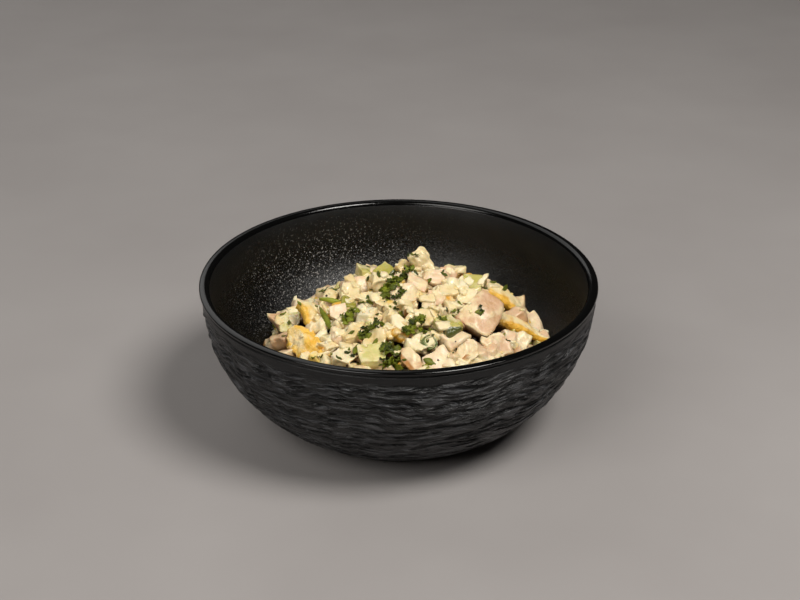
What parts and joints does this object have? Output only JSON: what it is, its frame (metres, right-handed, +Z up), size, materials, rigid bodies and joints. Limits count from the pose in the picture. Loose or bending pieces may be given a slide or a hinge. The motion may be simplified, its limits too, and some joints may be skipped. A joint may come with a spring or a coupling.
{
  "type": "smoked chicken pancake salad in a bowl",
  "caption": "Creamy salad of smoked chicken, pancake strips, diced vegetables and herbs, heaped in a round black stoneware bowl.",
  "frame": {"origin": "on the bowl's axis, on the plane that its foot stands on", "axes": "+Z up along the bowl's axis; the front of the salad, as pictured, faces -Y; +X to the right"},
  "size_m": [0.17, 0.17, 0.065],
  "materials": {
    "stoneware": "matt black stoneware, satin on the lip, carved with low horizontal waves outside",
    "salad": "moist, coated with thin creamy dressing"
  },
  "bodies": {
    "root": {"bowl": "stoneware", "salad": "salad"}
  },
  "joints": []
}
